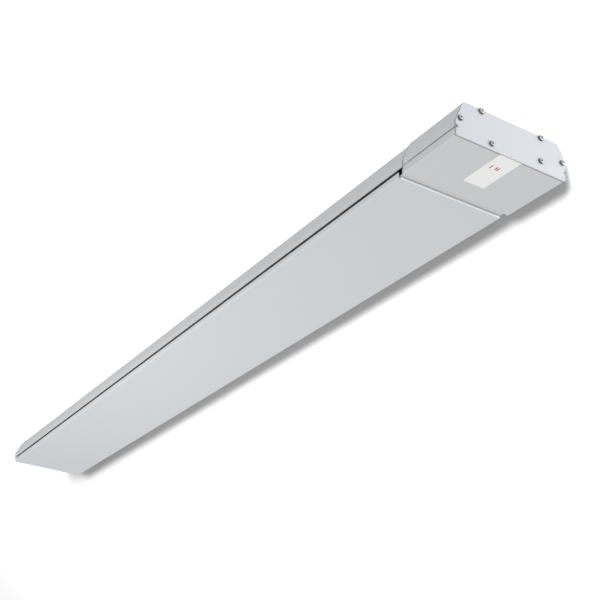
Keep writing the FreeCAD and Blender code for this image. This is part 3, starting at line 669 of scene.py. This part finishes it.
pin_end = pins_high.x
pin_y = pins_high.y - CONNECTOR_RADIUS
pin_z = (pins_low.z + pins_high.z) / 2.0
tab_end = tabs_high.x
tab_y = 4.0 * MM
tab_z = (tabs_low.z + tabs_high.z) / 2.0
entry_x = block_low.x
entry_z = block_high.z - ENTRY_DROP
pole_middle = (block_low.y + block_high.y) / 2.0
pole_y = [pole_middle + step * POLE_PITCH for step in (-1, 0, 1)]
tag_end = tag_high.x
tag_y = (tag_low.y + tag_high.y) / 2.0
tag_z = tag_low.z + TAG_HEIGHT

routes = {
    "live_lead": [
        (pin_end, -pin_y, pin_z),
        (pin_end + 7 * MM, -pin_y, pin_z),
        (pin_end + 12 * MM, -pin_y + 4 * MM, pin_z),
        (pin_end + 12 * MM, -tab_y - 5 * MM, tab_z),
        (pin_end + 6 * MM, -tab_y, tab_z),
        (tab_end, -tab_y, tab_z)],
    "neutral_lead": [
        (pin_end, pin_y, pin_z),
        (pin_end + 7 * MM, pin_y, pin_z),
        (pin_end + 13 * MM, pin_y - 6 * MM, pin_z + 3 * MM),
        (entry_x - 14 * MM, pole_y[2] + 5 * MM, entry_z - 3 * MM),
        (entry_x - 10 * MM, pole_y[2], entry_z),
        (entry_x, pole_y[2], entry_z)],
    "live_feed_lead": [
        (tab_end, tab_y, tab_z),
        (tab_end + 18 * MM, tab_y, tab_z),
        (tab_end + 27 * MM, tab_y - 4 * MM, tab_z + 3 * MM),
        (entry_x - 15 * MM, pole_y[0] + 5 * MM, entry_z - 3 * MM),
        (entry_x - 9 * MM, pole_y[0], entry_z),
        (entry_x, pole_y[0], entry_z)],
    "earth_lead": [
        (entry_x, pole_y[1], entry_z),
        (entry_x - 8 * MM, pole_y[1], entry_z),
        (entry_x - 14 * MM, pole_y[1] - 8 * MM, entry_z + 2 * MM),
        (entry_x - 17 * MM, tag_y + 5 * MM, tag_z),
        (entry_x - 21 * MM, tag_y, tag_z),
        (tag_end, tag_y, tag_z)],
}
wire_routes = {name: [Vector(place) for place in places] for name, places in routes.items()}
wire_finish = {"live_lead": "lead_sleeve", "live_feed_lead": "lead_sleeve"}
wire_finish.update({"neutral_lead": "neutral_sleeve", "earth_lead": "earth_sleeve"})


# %% Wire meshes
def wire_mesh(name, points):
    """Round, closed mesh along a smooth curve that the points pull into shape."""
    curve = bpy.data.curves.new(name, "CURVE")
    curve.dimensions = "3D"
    spline = curve.splines.new("NURBS")
    spline.points.add(len(points) - 1)
    for control, place in zip(spline.points, points):
        control.co = (*place, 1.0)
    spline.order_u = 3
    spline.use_endpoint_u = True
    spline.resolution_u = 10
    curve.bevel_depth = WIRE_RADIUS
    curve.bevel_resolution = 4
    curve.use_fill_caps = True
    holder = bpy.data.objects.new(name, curve)
    scene.collection.objects.link(holder)
    graph = bpy.context.evaluated_depsgraph_get()
    shape = bmesh.new()
    shape.from_mesh(holder.evaluated_get(graph).to_mesh())
    bpy.data.objects.remove(holder)
    bmesh.ops.remove_doubles(shape, verts=shape.verts[:], dist=1e-7)
    return finish_mesh(shape, name)


for name, points in wire_routes.items():
    moves = name in ("live_lead", "neutral_lead")
    body = None if moves else "housing"
    wire = add_piece("wire_" + name, wire_mesh(name, points), wire_finish[name], body, [name])
    if moves:
        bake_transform(wire)
print("wires:", list(wire_routes))

# %% [markdown]
# ## Wool blanket
# A blanket of mineral wool lies over the reflector and keeps the casing's top cool. It is a soft
# slab: its faces are a little uneven, its rim is thinner, and the four hanging inserts press it
# down. A cloth simulation would add nothing to a slab that is boxed in on all sides, so a fine
# grid is pushed about by smooth waves instead.

# %% Blanket
BLANKET_GRID = 9.0 * MM
BLANKET_UNEVEN = 0.9 * MM
EDGE_THICKNESS = 0.72  # of the full thickness, at the outer row of the grid
INSERT_THICKNESS = 0.2  # of the full height above the middle, where an insert presses it down
INSERT_REACH = 14.0 * MM


def blanket_mesh():
    low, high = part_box("insulation_blanket")
    centre = (low + high) / 2.0
    half = (high - low) / 2.0
    inserts = [(low_box + high_box) / 2.0 for low_box, high_box in loose_parts("hanging_inserts")]
    columns = round(2.0 * half.x / BLANKET_GRID)
    rows = round(2.0 * half.y / BLANKET_GRID)

    def height(side, i, j, x, y):
        """Height of the upper (1) or lower (-1) face at a place of the grid."""
        wave = math.sin(37.0 * x + 11.0 * side) * math.sin(53.0 * y + 5.0) + math.sin(91.0 * x - 67.0 * y)
        on_rim = min(i, j, columns - i, rows - j) == 0
        thick = EDGE_THICKNESS if on_rim else 1.0
        near_insert = min(math.hypot(x - place.x, y - place.y) for place in inserts)
        if side > 0 and near_insert < INSERT_REACH:
            thick = INSERT_THICKNESS
        return centre.z + side * (half.z * thick - BLANKET_UNEVEN * (1.0 + 0.4 * wave))

    shape = bmesh.new()
    layers = []
    for side in (-1, 1):
        grid = []
        for i in range(columns + 1):
            x = centre.x + half.x * (2.0 * i / columns - 1.0)
            across = [centre.y + half.y * (2.0 * j / rows - 1.0) for j in range(rows + 1)]
            grid.append([shape.verts.new((x, y, height(side, i, j, x, y))) for j, y in enumerate(across)])
        layers.append(grid)
    for grid, order in zip(layers, (-1, 1)):
        for i in range(columns):
            for j in range(rows):
                shape.faces.new((grid[i][j], grid[i + 1][j], grid[i + 1][j + 1], grid[i][j + 1])[::order])
    rim = [(i, 0) for i in range(columns)] + [(columns, j) for j in range(rows)]
    rim += [(i, rows) for i in range(columns, 0, -1)] + [(0, j) for j in range(rows, 0, -1)]
    for (i, j), (k, m) in zip(rim, rim[1:] + rim[:1]):
        shape.faces.new((layers[0][i][j], layers[0][k][m], layers[1][k][m], layers[1][i][j]))
    return finish_mesh(shape, "wool_blanket")


blanket = add_piece("wool_blanket", blanket_mesh(), "mineral_wool", "housing", ["insulation_blanket"])
print("blanket has", len(blanket.data.polygons), "faces")

# %% [markdown]
# ## Floor, backdrop and light
# The heater hangs, so the pale floor is well below it. A pale board leans close behind it,
# square to the camera's upward look, and takes the heater's soft shadow. Floor and board are
# there only for the camera, and only from their front, so they neither shade nor tint the
# heater, and other views look through the board's back.

# %% Stage
FLOOR_DEPTH = 1.25
BOARD_GAP = 0.066
STAGE_SIZE = 40.0


def stage_sheet(name, place, facing):
    mesh = bpy.data.meshes.new(name)
    half = STAGE_SIZE / 2.0
    corners = [(-half, -half, 0.0), (half, -half, 0.0), (half, half, 0.0), (-half, half, 0.0)]
    mesh.from_pydata(corners, [], [(0, 1, 2, 3)])
    turn = Vector(facing).to_track_quat("Z", "Y").to_matrix().to_4x4()
    mesh.transform(Matrix.Translation(place) @ turn)
    sheet = bpy.data.objects.new(name, mesh)
    scene.collection.objects.link(sheet)
    return sheet


def camera_only_board(name, tone):
    """Matt board that only the camera sees, and only from its front."""
    material, tree, shader = new_material(name, 0.9, 0.0, Specular_IOR_Level=0.0)
    mask = use_group(tree, drift, Patches_per_metre=0.8).outputs["Mask"]
    tree.links.new(two_tone(tree, mask, shade(tone, 0.99), shade(tone, 1.01)), shader.inputs["Base Color"])
    clear = tree.nodes.new("ShaderNodeBsdfTransparent")
    shown = tree.nodes.new("ShaderNodeMixShader")
    camera_ray = tree.nodes.new("ShaderNodeLightPath").outputs["Is Camera Ray"]
    back = tree.nodes.new("ShaderNodeNewGeometry").outputs["Backfacing"]
    front = math_node(tree, "SUBTRACT", 1.0, back)
    tree.links.new(math_node(tree, "MULTIPLY", camera_ray, front), shown.inputs[0])
    tree.links.new(clear.outputs[0], shown.inputs[1])
    tree.links.new(shader.outputs[0], shown.inputs[2])
    tree.links.new(shown.outputs[0], tree.nodes["Material Output"].inputs["Surface"])
    return material


floor = stage_sheet("floor", (0.0, 0.0, -FLOOR_DEPTH), (0.0, 0.0, 1.0))
floor.data.materials.append(camera_only_board("pale_floor", (0.84, 0.84, 0.83)))

upward_look = Vector((0.0, line_of_sight.y, line_of_sight.z)).normalized()
backdrop = stage_sheet("backdrop", upward_look * BOARD_GAP, -upward_look)
backdrop.data.materials.append(camera_only_board("pale_backdrop", (0.37, 0.37, 0.37)))
print("stage:", floor.name, "and", backdrop.name)

# %% [markdown]
# The studio's soft light comes from all round. It is a little stronger from beyond the terminal
# box, from the side away from the camera and from below. A picture of a studio would do as well,
# but a slope of one brightness across the sky is easier to tune. The camera itself sees a plain
# white surrounding.


# %% World light
LIGHT_LEVEL = 0.82
LIGHT_SLOPE = Vector((0.20, 0.07, -0.08))

world = bpy.data.worlds.new("soft_studio")
scene.world = world
world.use_nodes = True
world_tree = world.node_tree
direction = add_node(world_tree, "ShaderNodeTexCoord").outputs["Generated"]
slope = world_tree.nodes.new("ShaderNodeVectorMath")
slope.operation = "DOT_PRODUCT"
slope.inputs[1].default_value = LIGHT_SLOPE
world_tree.links.new(direction, slope.inputs[0])
level = math_node(world_tree, "ADD", slope.outputs["Value"], LIGHT_LEVEL)
camera_ray = world_tree.nodes.new("ShaderNodeLightPath").outputs["Is Camera Ray"]
seen = add_node(world_tree, "ShaderNodeMix")
world_tree.links.new(camera_ray, seen.inputs["Factor"])
world_tree.links.new(level, seen.inputs["A"])
seen.inputs["B"].default_value = 1.0
background = world_tree.nodes["Background"]
background.inputs["Color"].default_value = (1.0, 1.0, 1.0, 1.0)
world_tree.links.new(seen.outputs["Result"], background.inputs["Strength"])
darkest = LIGHT_LEVEL - LIGHT_SLOPE.length
brightest = LIGHT_LEVEL + LIGHT_SLOPE.length
print("the soft light runs from", round(darkest, 2), "to", round(brightest, 2))

# %% [markdown]
# ## Lamps
# Four disc lamps do what even light can't. The strong one is linked to the backdrop alone: it
# throws the heater's shadow there and leaves the heater's own tones as they are. The weak ones
# lift the middle of the hot plate, the casing's side and the face of the end plate.


# %% Lamps
def area_light(name, place, target, size, power):
    data = bpy.data.lights.new(name, "AREA")
    data.shape = "DISK"
    data.size = size
    data.energy = power
    lamp = bpy.data.objects.new(name, data)
    scene.collection.objects.link(lamp)
    lamp.location = place
    lamp.rotation_mode = "QUATERNION"
    lamp.rotation_quaternion = (Vector(target) - Vector(place)).to_track_quat("-Z", "Y")
    return lamp


backdrop_light = area_light("backdrop_light", (3.2, -4.0, -0.6), (-1.0, 0.0, -0.4), 2.8, 1700.0)
lit_by_it = bpy.data.collections.new("lit_by_backdrop_light")
lit_by_it.objects.link(backdrop)
backdrop_light.light_linking.receiver_collection = lit_by_it
area_light("panel_light", (-0.1, -0.65, -0.8), (-0.1, 0.0, 0.0), 0.8, 3.0)
area_light("side_light", (-0.5, -1.2, -0.1), (-0.5, 0.0, -0.02), 0.8, 2.6)
area_light("end_light", (1.3, 0.55, -0.03), (0.9, 0.05, -0.03), 0.3, 1.4)
scene.view_settings.view_transform = "Standard"
